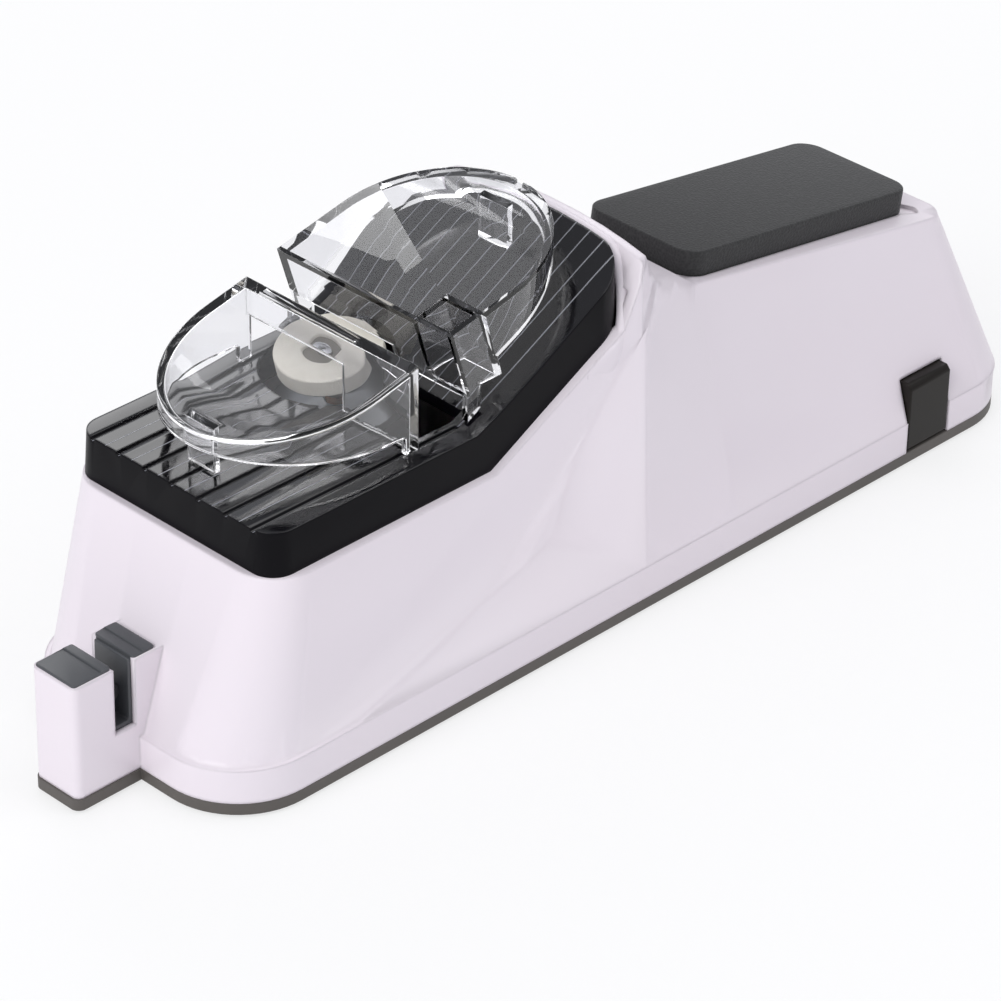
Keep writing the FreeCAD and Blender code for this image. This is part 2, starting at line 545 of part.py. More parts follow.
inlet = box(INLET_X1, INLET_X1 + 8.8, -4.7, 4.7, INLET_Z - 2.0, INLET_Z + 2.0)
inlet = inlet.cut(box(INLET_X1 + 1.5, XR + 2, -4.1, 4.1, INLET_Z - 1.4, INLET_Z + 1.4))
save("inlet_shell", inlet)
tongue2 = box(INLET_X1 + 1.5, INLET_X1 + 7.6, -3.2, 3.2, INLET_Z - 0.35, INLET_Z + 0.35)
save("inlet_tongue", tongue2)
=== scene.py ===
import json
import math

import bmesh
import bpy
from mathutils import Matrix, Vector


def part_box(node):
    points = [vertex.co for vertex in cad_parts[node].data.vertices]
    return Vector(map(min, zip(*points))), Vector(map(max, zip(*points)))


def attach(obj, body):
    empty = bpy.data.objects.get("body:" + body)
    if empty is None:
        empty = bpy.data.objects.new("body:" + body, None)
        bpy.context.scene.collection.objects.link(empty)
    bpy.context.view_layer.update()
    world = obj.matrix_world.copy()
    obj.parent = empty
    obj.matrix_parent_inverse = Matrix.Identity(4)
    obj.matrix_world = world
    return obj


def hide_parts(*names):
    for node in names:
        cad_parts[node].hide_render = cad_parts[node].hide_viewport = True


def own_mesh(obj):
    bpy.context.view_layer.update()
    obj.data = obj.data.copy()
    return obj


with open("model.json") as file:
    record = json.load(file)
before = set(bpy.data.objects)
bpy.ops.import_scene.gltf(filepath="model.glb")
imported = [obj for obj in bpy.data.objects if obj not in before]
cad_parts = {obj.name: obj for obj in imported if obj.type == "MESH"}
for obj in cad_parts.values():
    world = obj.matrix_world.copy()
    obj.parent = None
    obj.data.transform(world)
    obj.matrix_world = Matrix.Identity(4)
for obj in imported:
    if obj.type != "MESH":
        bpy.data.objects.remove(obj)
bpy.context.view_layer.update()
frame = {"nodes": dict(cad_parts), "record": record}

MM = 0.001
IMAGE_PX = 1001

# colours as seen on the object, sRGB; a finish drifts slowly from the first of its pair to the second
HOUSING_WHITE = ("#EBE4EA", "#E7DDE3")
BASE_GREY = ("#5B5652", "#524E4A")
LINER_GREY = ("#4F5154", "#46484B")
BUTTON_BLACK = ("#1D1916", "#181511")
# the hub's beige is darkened as painted shade, standing for the shade in the wheel's hole
HUB_BEIGE_PAINTED_SHADE = ("#8C877E", "#7F7A72")
HOLDER_BLACK = ("#232323", "#1B1B1B")
RUBBER_BLACK = ("#1E1E1E", "#262626")
ZINC_GREY = ("#B9BBBD", "#A6A9AC")
STEEL_GREY = ("#C8C9CB", "#BBBCBE")
BRASS_YELLOW = ("#C9A15A", "#B98F4B")
BRONZE_BROWN = ("#9A6B3C", "#84592F")
COPPER_RED = ("#A5572B", "#8C4520")
MASK_GREEN = ("#1F5A38", "#2A6B45")
EPOXY_BLACK = ("#1C1C1D", "#242425")
SLEEVE_BLUE = ("#2C5C8C", "#264F79")
CERAMIC_GREY = ("#3A3A3C", "#303032")
# the cover's second colour is a painted highlight on its groove lines
COVER_BLACK_AND_LINE_HIGHLIGHT = ("#0B0A0E", "#8A8B92")
# the foam's first colour is painted shade at the bottom of each cell's pit
PIT_SHADE_AND_FOAM = ("#1E1E1E", "#343434")
STONE_CREAM = ("#F0ECE2", "#DDD8CC")
GUARD_CLEAR = "#FAFAFC"
FLOOR_WHITE = "#F7F7F8"
FILL_WHITE = "#EEF0F8"
PURE_WHITE = (1, 1, 1, 1)


def lin(code):
    """Turns an sRGB hex colour to linear RGBA."""
    out = []
    for i in (1, 3, 5):
        c = int(code[i:i + 2], 16) / 255
        out.append(c / 12.92 if c <= 0.04045 else ((c + 0.055) / 1.055) ** 2.4)
    return (*out, 1.0)


def add(tree, kind, settings=None, **inputs):
    """Adds one node with its settings, and links or sets its inputs by name, or by place as i0, i1."""
    n = tree.nodes.new(kind)
    for key, value in (settings or {}).items():
        setattr(n, key, value)
    for key, value in inputs.items():
        name = key.replace("_", " ")
        by_place = name[0] == "i" and name[1:].isdigit()
        socket = n.inputs[int(name[1:]) if by_place else name]
        if isinstance(value, bpy.types.NodeSocket):
            tree.links.new(value, socket)
        else:
            socket.default_value = value
    return n


def start(name):
    """A bare node material, its tree, and object coordinates in millimetres."""
    m = bpy.data.materials.new(name)
    m.use_nodes = True
    t = m.node_tree
    t.nodes.clear()
    coord = add(t, "ShaderNodeTexCoord").outputs["Object"]
    mm = add(t, "ShaderNodeVectorMath", {"operation": "SCALE"}, Vector=coord, Scale=1 / MM)
    return m, t, mm.outputs["Vector"]


def finish_material(t, shader):
    """Joins the last shader to the material's surface."""
    add(t, "ShaderNodeOutputMaterial", Surface=shader)


def two_tone(t, factor, pair):
    """The colour that goes from the first of a pair to the second as the factor goes from 0 to 1."""
    mix = add(t, "ShaderNodeMix", {"data_type": "RGBA"}, Factor=factor)
    ends = [socket for socket in mix.inputs if socket.type == "RGBA"]
    for socket, code in zip(ends, pair):
        socket.default_value = lin(code)
    return next(socket for socket in mix.outputs if socket.type == "RGBA")


def moulded(name, pair, patch=30.0, rough=(0.3, 0.36), grain=0.5, depth=0.02, edge=0.35, spec=0.5,
            metal=0.0, milky=0.0):
    """A moulded or pressed surface: slow colour drift, uneven gloss, fine grain and soft edges.
    The drift's patch, the grain, its depth and the soft edge's radius are in millimetres. The grain is drawn
    coarser than a real mould's grain, so that it shows."""
    m, t, mm = start(name)
    drift = add(t, "ShaderNodeTexNoise", Vector=mm, Scale=1 / patch, Detail=3.0, Roughness=0.5)
    fine = add(t, "ShaderNodeTexNoise", Vector=mm, Scale=1 / grain, Detail=2.0, Roughness=0.6)
    gloss = add(t, "ShaderNodeMapRange", Value=drift.outputs["Fac"], From_Min=0.3, From_Max=0.7,
                To_Min=rough[0], To_Max=rough[1])
    soft = add(t, "ShaderNodeBevel", {"samples": 6}, Radius=edge * MM)
    relief = add(t, "ShaderNodeBump", Height=fine.outputs["Fac"], Distance=depth * MM, Strength=0.6,
                 Normal=soft.outputs["Normal"])
    b = add(t, "ShaderNodeBsdfPrincipled", Base_Color=two_tone(t, drift.outputs["Fac"], pair),
            Roughness=gloss.outputs["Result"], Normal=relief.outputs["Normal"], Metallic=metal,
            Specular_IOR_Level=spec, Subsurface_Weight=milky, Subsurface_Radius=(2 * MM, 2 * MM, 2 * MM))
    finish_material(t, b.outputs["BSDF"])
    return m


# ABS, injection moulded in a polished tool: a pale lavender white with soft broad highlights
abs_white = moulded("abs_moulded_satin_white", HOUSING_WHITE, patch=70, rough=(0.30, 0.36), grain=0.8,
                    depth=0.004, edge=1.1)
# ABS with fine spark-eroded grain: the base strip looks warm grey and dull
abs_grey = moulded("abs_moulded_fine_grain_grey", BASE_GREY, rough=(0.48, 0.58), grain=0.35, depth=0.03,
                   edge=0.5)
# ABS, half gloss: the dark lining and caps of the nose slot catch a soft grey sheen
abs_liner = moulded("abs_moulded_liner_grey", LINER_GREY, rough=(0.34, 0.42), grain=0.5, depth=0.015,
                    edge=0.4)
# ABS, satin: the push button looks brown black with hardly any shine
abs_button = moulded("abs_moulded_button_black", BUTTON_BLACK, rough=(0.3, 0.36), grain=0.6, depth=0.01,
                     edge=0.5, spec=0.2)
# nylon, moulded and undyed: a dull beige grey, slightly milky, darkened as painted shade so that the hub reads
# as the shaded hole in the wheel's middle
nylon = moulded("nylon_moulded_darkened_painted_shade", HUB_BEIGE_PAINTED_SHADE, rough=(0.4, 0.5), grain=0.6, depth=0.02, milky=0.1)
# nylon, moulded black: dull, with a fine grain
nylon_black = moulded("nylon_moulded_black", HOLDER_BLACK, rough=(0.42, 0.5), grain=0.5, depth=0.02)
# silicone rubber, moulded: black and dull
rubber = moulded("rubber_moulded_black", RUBBER_BLACK, rough=(0.7, 0.8), grain=0.4, depth=0.05)
# steel sheet, pressed and zinc plated: grey with uneven bright patches
zinc_steel = moulded("steel_pressed_zinc_plated", ZINC_GREY, patch=4, rough=(0.28, 0.42), grain=0.3,
                     depth=0.01, metal=1.0)
# steel rod and wire, drawn bright: clear narrow highlights
bright_steel = moulded("steel_drawn_bright", STEEL_GREY, patch=6, rough=(0.18, 0.26), grain=0.2, depth=0.005,
                       metal=1.0)
# brass strip, stamped: warm yellow with a satin shine
brass = moulded("brass_stamped", BRASS_YELLOW, patch=4, rough=(0.25, 0.35), grain=0.3, depth=0.01,
                metal=1.0)
# bronze, sintered: brown, dull and finely pitted
bronze = moulded("bronze_sintered", BRONZE_BROWN, patch=2, rough=(0.45, 0.6), grain=0.25, depth=0.05,
                 metal=1.0)
# copper wire, enamelled and wound: deep red brown with an uneven shine
copper = moulded("copper_wound_enamelled", COPPER_RED, patch=2, rough=(0.3, 0.4), grain=0.3, depth=0.08,
                 metal=1.0)
# glass laminate under solder mask: green with a soft shine
laminate = moulded("glass_laminate_solder_mask", MASK_GREEN, patch=5, rough=(0.3, 0.4), grain=0.5,
                   depth=0.02)
# epoxy, moulded: black and dull
epoxy = moulded("epoxy_moulded_black", EPOXY_BLACK, rough=(0.45, 0.55), grain=0.3, depth=0.02)
# PVC sleeve, heat shrunk: blue and rather glossy
sleeve = moulded("pvc_shrink_sleeve_blue", SLEEVE_BLUE, patch=12, rough=(0.22, 0.3), grain=0.6, depth=0.01)
# ceramic, sintered: dark grey and dull with a fine tooth
ceramic = moulded("ceramic_sintered_dark", CERAMIC_GREY, rough=(0.5, 0.6), grain=0.25, depth=0.03)

# pattern sizes in millimetres; cells and grit are drawn coarser than the real ones, so that they show, and
# the lines on the cover are about a pixel wide in the photograph's view
# the cover's lines are grooves drawn as a bump, coloured lighter as a painted highlight on their edges
LINE_PITCH, LINE_WIDTH = 3.85, 0.16
LINED_HALF_WIDTH = 24.6
RIPPLE_PATCH, CLEAR_PATCH, WEAR_PATCH = 18.0, 14.0, 3.0
FOAM_CELL, GRIT_SIZE = 0.55, 0.35
TOP_FACING = 0.8


def gloss_cover():
    """ABS, moulded in a mirror-polished tool: near black with a wet looking top, fine lengthwise lines on
    it, which are grooves drawn as a bump and coloured a lighter grey as a painted highlight, and satin sides."""
    m, t, mm = start("abs_moulded_high_gloss_black")
    xyz = add(t, "ShaderNodeSeparateXYZ", Vector=mm)
    cell = add(t, "ShaderNodeMath", {"operation": "WRAP"}, i0=xyz.outputs["Y"], i1=LINE_PITCH / 2,
               i2=-LINE_PITCH / 2)
    off = add(t, "ShaderNodeMath", {"operation": "ABSOLUTE"}, i0=cell.outputs[0])
    line = add(t, "ShaderNodeMapRange", Value=off.outputs[0], From_Min=LINE_WIDTH / 2, From_Max=LINE_WIDTH,
               To_Min=1.0, To_Max=0.0)
    geo = add(t, "ShaderNodeNewGeometry")
    up = add(t, "ShaderNodeSeparateXYZ", Vector=geo.outputs["True Normal"])
    face_up = add(t, "ShaderNodeMath", {"operation": "GREATER_THAN"}, i0=up.outputs["Z"], i1=TOP_FACING)
    from_middle = add(t, "ShaderNodeMath", {"operation": "ABSOLUTE"}, i0=xyz.outputs["Y"])
    inside = add(t, "ShaderNodeMath", {"operation": "LESS_THAN"}, i0=from_middle.outputs[0],
                 i1=LINED_HALF_WIDTH)
    lined = add(t, "ShaderNodeMath", {"operation": "MULTIPLY"}, i0=face_up.outputs[0], i1=inside.outputs[0])
    mask = add(t, "ShaderNodeMath", {"operation": "MULTIPLY"}, i0=lined.outputs[0],
               i1=line.outputs["Result"])
    ripple = add(t, "ShaderNodeTexNoise", Vector=mm, Scale=1 / RIPPLE_PATCH, Detail=2.0)
    soft = add(t, "ShaderNodeBevel", {"samples": 6}, Radius=0.7 * MM)
    wave = add(t, "ShaderNodeBump", Height=ripple.outputs["Fac"], Distance=0.35 * MM, Strength=0.5,
               Normal=soft.outputs["Normal"])
    cut = add(t, "ShaderNodeBump", {"invert": True}, Height=mask.outputs[0], Distance=0.15 * MM,
              Strength=0.6, Normal=wave.outputs["Normal"])
    rough = add(t, "ShaderNodeMapRange", Value=face_up.outputs[0], To_Min=0.36, To_Max=0.1)
    shine = add(t, "ShaderNodeMapRange", Value=face_up.outputs[0], To_Min=0.09, To_Max=0.55)
    # the lines' lighter grey, the second colour, is a painted highlight on the groove edges
    b = add(t, "ShaderNodeBsdfPrincipled", Base_Color=two_tone(t, mask.outputs[0], COVER_BLACK_AND_LINE_HIGHLIGHT),
            Roughness=rough.outputs["Result"], Specular_IOR_Level=shine.outputs["Result"],
            Normal=cut.outputs["Normal"])
    finish_material(t, b.outputs["BSDF"])
    return m


def clear_plastic():
    """Polystyrene, moulded clear: glassy walls that bend what lies behind them, with glints on their edges."""
    m, t, mm = start("polystyrene_moulded_clear")
    drift = add(t, "ShaderNodeTexNoise", Vector=mm, Scale=1 / CLEAR_PATCH, Detail=2.0)
    rough = add(t, "ShaderNodeMapRange", Value=drift.outputs["Fac"], To_Min=0.0, To_Max=0.03)
    wave = add(t, "ShaderNodeBump", Height=drift.outputs["Fac"], Distance=0.12 * MM, Strength=0.2)
    b = add(t, "ShaderNodeBsdfPrincipled", Base_Color=lin(GUARD_CLEAR), Roughness=rough.outputs["Result"],
            Normal=wave.outputs["Normal"], IOR=1.49, Transmission_Weight=1.0)
    finish_material(t, b.outputs["BSDF"])
    return m


def foam():
    """EVA foam, cut from sheet: dull charcoal, with tiny open cells on the cut face, each darker towards its
    pit as painted shade.
    """
    m, t, mm = start("eva_foam_cut_charcoal")
    cells = add(t, "ShaderNodeTexVoronoi", {"feature": "F1"}, Vector=mm, Scale=1 / FOAM_CELL)
    pits = add(t, "ShaderNodeBump", Height=cells.outputs["Distance"], Distance=0.12 * MM, Strength=0.7)
    # each cell's pit is drawn in the darker colour, as painted shade
    b = add(t, "ShaderNodeBsdfPrincipled", Base_Color=two_tone(t, cells.outputs["Distance"], PIT_SHADE_AND_FOAM),
            Roughness=0.85, Normal=pits.outputs["Normal"], Sheen_Weight=0.15)
    finish_material(t, b.outputs["BSDF"])
    return m


def stone():
    """Alumina grit, bonded, pressed and fired: cream and matt, with a fine tooth."""
    m, t, mm = start("alumina_bonded_fine_grit")
    grit = add(t, "ShaderNodeTexVoronoi", {"feature": "F1"}, Vector=mm, Scale=1 / GRIT_SIZE)
    wear = add(t, "ShaderNodeTexNoise", Vector=mm, Scale=1 / WEAR_PATCH, Detail=4.0)
    pits = add(t, "ShaderNodeBump", Height=grit.outputs["Distance"], Distance=0.1 * MM, Strength=0.6)
    b = add(t, "ShaderNodeBsdfPrincipled", Base_Color=two_tone(t, wear.outputs["Fac"], STONE_CREAM),
            Roughness=0.8, Normal=pits.outputs["Normal"])
    finish_material(t, b.outputs["BSDF"])
    return m


black_gloss = gloss_cover()
clear = clear_plastic()
charcoal_foam = foam()
alumina = stone()

# the finish of every node of the solids, except for the foam pad, which a piece below replaces
FINISH = {
    "base_plate": abs_grey, "feet": rubber, "base_screws": zinc_steel, "housing_shell": abs_white,
    "slot_liner": abs_liner, "honing_plates": ceramic, "top_cover": black_gloss, "guard_front": clear,
    "guard_rear": clear, "grinding_wheel": alumina, "wheel_hub": nylon, "motor_shaft": bright_steel,
    "retaining_cap": bright_steel, "motor_can": zinc_steel, "motor_bearing": bronze, "motor_rotor": copper,
    "motor_end_cap": nylon_black, "motor_tabs": brass, "motor_bracket": zinc_steel,
    "motor_screws": zinc_steel, "battery_cells": sleeve, "battery_holder": nylon_black,
    "battery_contacts": zinc_steel, "battery_door": abs_grey, "circuit_board": laminate,
    "board_parts": epoxy, "push_switch": epoxy, "switch_stem": nylon, "power_button": abs_button,
    "button_spring": bright_steel, "inlet_shell": bright_steel, "inlet_tongue": epoxy,
}
for name, finish in FINISH.items():
    mesh = frame["nodes"][name].data
    mesh.materials.clear()
    mesh.materials.append(finish)

MERGE_WITHIN = 0.002 * MM
CUT_WITHIN = 0.0001 * MM
FLAT_ANGLE = 0.6


def body_of_node(name):
    """The body that a node of the solids rides on."""
    bodies = frame["record"]["behaviour"]["bodies"]
    return next(body for body, names in bodies.items() if name in names)


def slot_of_node(name):
    """The material slot of a node of the solids."""
    return next(part["material_slot"] for part in frame["record"]["subparts"] if part["node"] == name)


def piece(name, bm, body, slot, finish, sharp=None):
    """Makes a finished object from a bmesh, riding on a body. Its shading breaks at angles past sharp."""
    mesh = bpy.data.meshes.new(name)
    bmesh.ops.recalc_face_normals(bm, faces=bm.faces)
    bm.to_mesh(mesh)
    bm.free()
    mesh.materials.append(finish)
    mesh.shade_smooth()
    if sharp:
        mesh.set_sharp_from_angle(angle=math.radians(sharp))
    obj = bpy.data.objects.new(name, mesh)
    bpy.context.scene.collection.objects.link(obj)
    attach(obj, body)
    return obj


def merged(node_name):
    """A merged copy of a node's mesh, with its flat faces joined up."""
    bm = bmesh.new()
    bm.from_mesh(frame["nodes"][node_name].data)
    bmesh.ops.remove_doubles(bm, verts=bm.verts, dist=MERGE_WITHIN)
    bmesh.ops.dissolve_limit(bm, angle_limit=math.radians(FLAT_ANGLE), verts=bm.verts, edges=bm.edges)
    return bm


def softened(node_name, width=0.0, segments=2, sharp=32.0, bm=None):
    """Takes a node's place with a copy of it, or with its reshaped copy bm, its sharp edges rounded by a bevel
    of this width in millimetres when a width is given.
    """
    bm = bm or merged(node_name)
    body, slot = body_of_node(node_name), slot_of_node(node_name)
    obj = piece(node_name + "_soft", bm, body, slot, FINISH[node_name], sharp)
    if width:
        mod = obj.modifiers.new("rounding", "BEVEL")
        mod.width = width * MM
        mod.segments = segments
        mod.limit_method = "ANGLE"
        mod.angle_limit = math.radians(sharp)
        mod.use_clamp_overlap = True
    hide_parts(node_name)


def everything(bm):
    """All vertices, edges and faces of a bmesh."""
    return list(bm.verts) + list(bm.edges) + list(bm.faces)


def cut_across(bm, axis, places):
    """Adds edges where flat planes across an axis, 0, 1 or 2, cut the mesh, at places in millimetres."""
    for place in places:
        spot = [0, 0, 0]
        facing = [0, 0, 0]
        spot[axis] = place * MM
        facing[axis] = 1
        bmesh.ops.bisect_plane(bm, geom=everything(bm), plane_co=spot, plane_no=facing, dist=CUT_WITHIN)


def ramp(value, low, high):
    """Rises smoothly from 0 at low to 1 at high."""
    t = min(1.0, max(0.0, (value - low) / (high - low)))
    return t * t * (3 - 2 * t)


# the ridge is arched: at each x its edge, CROWN_HALF from the middle, lies this far below the middle, and
# the arch fades in between two heights, all in millimetres
CROWN = [(-42, 0.0), (-35, 1.1), (-24, 2.1), (-5, 2.9), (4, 3.8), (14, 3.0), (28, 1.0), (33, 0.0)]
CROWN_HALF = 28.4
CROWN_BEND = 2.2
CROWN_FADE = (44, 57)


def crown_drop(x, y, z):
    """How far the arch lowers a point, all in millimetres."""
    for (x1, d1), (x2, d2) in zip(CROWN, CROWN[1:]):
        if x1 < x <= x2:
            drop = d1 + (d2 - d1) * (x - x1) / (x2 - x1)
            return drop * (abs(y) / CROWN_HALF) ** CROWN_BEND * ramp(z, *CROWN_FADE)
    return 0.0


def arch(bm):
    """Bends the ridge down towards both sides."""
    for v in bm.verts:
        x, y, z = (c / MM for c in v.co)
        v.co.z = (z - crown_drop(x, y, z)) * MM


# housing: arched ridge and tighter rear corners, on walls that lean inwards from the flange to the top
FLANGE_TOP, WALL_TOP = 11.0, 90.0
REAR_X, REAR_LEAN = 127.9, 32.9
SIDE_Y, SIDE_LEAN = 33.2, 24.4
DECK_START_Z, DECK_START_X, DECK_FALL = 60.8, 32.6, 0.146
CORNER_R, CORNER_TAPER, TIGHT_TAPER, TIGHT_LEAST = 17.0, 14.0, 21.0, 3.5
REAR_HALF_FROM = 60
RIM_DEPTH = 3.2
HOUSING_CUTS = (-26, -21, -15, -8, 0, 8, 15, 21, 26)


def tighten_rear_corners(bm):
    """Draws each rear corner of the housing in towards the meeting point of its two walls."""
    for v in bm.verts:
        x, y, z = (c / MM for c in v.co)
        if z <= FLANGE_TOP or x <= REAR_HALF_FROM:
            continue
        rise = (z - FLANGE_TOP) / (WALL_TOP - FLANGE_TOP)
        corner_x = REAR_X - REAR_LEAN * rise
        corner_y = SIDE_Y - SIDE_LEAN * rise
        r_now = CORNER_R - CORNER_TAPER * rise
        r_new = max(TIGHT_LEAST, CORNER_R - TIGHT_TAPER * rise)
        if x <= corner_x - r_now or abs(y) <= corner_y - r_now:
            continue
        new_x = corner_x + (x - corner_x) * r_new / r_now
        new_y = corner_y + (abs(y) - corner_y) * r_new / r_now
        if z > DECK_START_Z - DECK_FALL * (x - DECK_START_X) - RIM_DEPTH:
            z -= DECK_FALL * (new_x - x)
        v.co = Vector((new_x, math.copysign(new_y, y), z)) * MM


bm = merged("housing_shell")
cut_across(bm, 1, HOUSING_CUTS)
tighten_rear_corners(bm)
arch(bm)
softened("housing_shell", sharp=30.0, bm=bm)

# top cover: arched with the ridge, its upper rim rounded
RIM_FRONT_X, RIM_REAR_X, RIM_Y, RIM_Z = -94.5, 1.5, 25.5, 57
RIM_ROUND = 1.0
RIM_TOP_FACING, RIM_SIDE_FACING = 0.75, 0.4
COVER_CUTS_Y = (-24.5, -20, -14, -7, 0, 7, 14, 20, 24.5)
COVER_CUTS_X = (-35, -24, -14, -5)


def on_cover_rim(edge):
    """Tells whether an edge lies between the cover's top and its outer sides."""
    if len(edge.link_faces) != 2:
        return False
    side, top = sorted(f.normal.z for f in edge.link_faces)
    mid = (edge.verts[0].co + edge.verts[1].co) / 2 / MM
    outside = abs(mid.y) > RIM_Y or mid.x < RIM_FRONT_X or mid.x > RIM_REAR_X
    return top > RIM_TOP_FACING and abs(side) < RIM_SIDE_FACING and outside and mid.z > RIM_Z


bm = merged("top_cover")
cut_across(bm, 1, COVER_CUTS_Y)
cut_across(bm, 0, COVER_CUTS_X)
arch(bm)
rims = [e for e in bm.edges if on_cover_rim(e)]
bmesh.ops.bevel(bm, geom=rims, offset=RIM_ROUND * MM, offset_type="OFFSET", segments=4, profile=0.5,
                material=-1, affect="EDGES", clamp_overlap=True)
softened("top_cover", sharp=34.0, bm=bm)


def sweep(sections, sides):
    """A closed bar: a circle's points are carried on from section to section, and both ends are filled.
    A section is (middle, across, half width, rise, depth), in millimetres."""
    bm = bmesh.new()
    ring = bmesh.ops.create_circle(bm, cap_ends=False, radius=1.0, segments=sides)["verts"]
    angles = [math.atan2(v.co.y, v.co.x) for v in ring]
    first = list(ring)
    for i, (middle, across, half, rise, depth) in enumerate(sections):
        if i:
            edges = [bm.edges.get(pair) for pair in zip(ring, ring[1:] + ring[:1])]
            made = bmesh.ops.extrude_edge_only(bm, edges=edges)["geom"]
            fresh = [g for g in made if isinstance(g, bmesh.types.BMVert)]
            ring = [next(e.other_vert(v) for e in v.link_edges if e.other_vert(v) in fresh) for v in ring]
        for v, a in zip(ring, angles):
            lift = (rise if math.sin(a) > 0 else depth) * math.sin(a)
            v.co = (Vector(middle) + Vector(across) * half * math.cos(a) + Vector((0, 0, lift))) * MM
    bmesh.ops.contextual_create(bm, geom=first)
    bmesh.ops.contextual_create(bm, geom=ring)
    return bm


# white lip that wraps the cover's upper end: narrow along the skirt, full across the ridge
LIP_HALF, LIP_RISE, LIP_DEPTH, LIP_GAP = 1.45, 1.1, 9.0, 0.1
LIP_NARROW, LIP_FULL_AT = 0.3, (-8, 3)
LIP_SIDE_X, LIP_SIDE_LIFT = (-12.0, -9.0), 0.2
LIP_RIDGE_Y = (-14.0, -9.0, -4.0)
LIP_CORNER_STEPS, LIP_SIDES = 10, 14
COVER_END, COVER_SIDE, COVER_ROUND = 3.2, 27.9, 9.0
SKIRT_LOW, SKIRT_HIGH = (-38.0, 50.5), (-1.0, 71.5)
RIDGE_TOP = 84.2


def skirt_z(x):
    """The height of the cover's lower edge on the slope."""
    t = (x - SKIRT_LOW[0]) / (SKIRT_HIGH[0] - SKIRT_LOW[0])
    return SKIRT_LOW[1] + t * (SKIRT_HIGH[1] - SKIRT_LOW[1])


def lip_sections():
    """The lip's sections from the near side over the ridge to the far side, which mirrors the near one."""
    corner_x, corner_y = COVER_END - COVER_ROUND, COVER_ROUND - COVER_SIDE
    reach = COVER_ROUND + LIP_HALF + LIP_GAP
    near = [((x, corner_y - reach, skirt_z(x) + LIP_SIDE_LIFT), (0, -1, 0)) for x in LIP_SIDE_X]
    for i in range(LIP_CORNER_STEPS + 1):
        a = math.radians(90 / LIP_CORNER_STEPS * i)
        z = skirt_z(corner_x) + (RIDGE_TOP - skirt_z(corner_x)) * ramp(i, 0, LIP_CORNER_STEPS)
        spot = (corner_x + reach * math.sin(a), corner_y - reach * math.cos(a), z)
        near.append((spot, (math.sin(a), -math.cos(a), 0)))
    near += [((COVER_END + LIP_HALF + LIP_GAP, y, RIDGE_TOP), (1, 0, 0)) for y in LIP_RIDGE_Y]
    far = [((x, -y, z), (out_x, -out_y, 0)) for (x, y, z), (out_x, out_y, _) in reversed(near)]
    for (x, y, z), across in near + far:
        half = LIP_HALF * (LIP_NARROW + (1 - LIP_NARROW) * ramp(x, *LIP_FULL_AT))
        yield (x, y, z - crown_drop(x, y, z) - LIP_RISE), across, half, LIP_RISE, LIP_DEPTH


piece("housing_lip", sweep(lip_sections(), LIP_SIDES), "body", "white_plastic", abs_white, sharp=40)

# clear guards, base, button, wheel and the small parts in view, their edges rounded
softened("guard_front", width=0.45, segments=3, sharp=35.0)
softened("guard_rear", width=0.45, segments=3, sharp=35.0)
softened("base_plate", width=0.35)
softened("power_button", width=0.7, segments=3)

# the wheel is drawn a tenth smaller across its leaning axis than its solid, as the photograph shows it
WHEEL_MIDDLE, WHEEL_TILT, WHEEL_SHARE = (-45.2, 9.6, 63.3), 14.0, 0.9
bm = merged("grinding_wheel")
lean = Matrix.Rotation(math.radians(-WHEEL_TILT), 4, "Y")
spot = Matrix.Translation(Vector(WHEEL_MIDDLE) * MM)
narrower = Matrix.Diagonal((WHEEL_SHARE, WHEEL_SHARE, 1, 1))
squeeze = spot @ lean @ narrower @ lean.inverted() @ spot.inverted()
bmesh.ops.transform(bm, matrix=squeeze, verts=bm.verts)
softened("grinding_wheel", width=0.35, segments=3, bm=bm)
softened("slot_liner", width=0.25)
softened("feet", width=0.2)

# dark caps on both sides of the nose slot, each with a raised bar across it
low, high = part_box("slot_liner")
LINER_X1, LINER_X2, LINER_TOP = low[0] / MM, high[0] / MM, high[2] / MM
SLOT_X1, SLOT_X2 = LINER_X1 + 8.8, LINER_X1 + 14.2
CAP_HALF_WIDTH, CAP_SINK, CAP_RISE = 5.75, 0.5, 0.75
CAP_CORNER, CAP_ROUND, CAP_GAP = 0.7, 0.25, 0.1
CAP_PAST_FRONT, CAP_PAST_REAR = 0.8, 0.6
BAR_FROM_SLOT, BAR_SLOPE, BAR_RISE = 2.6, 0.25, 0.35
CAP_TOP_FACING, CAP_EDGE_RADIANS = 0.9, 0.6


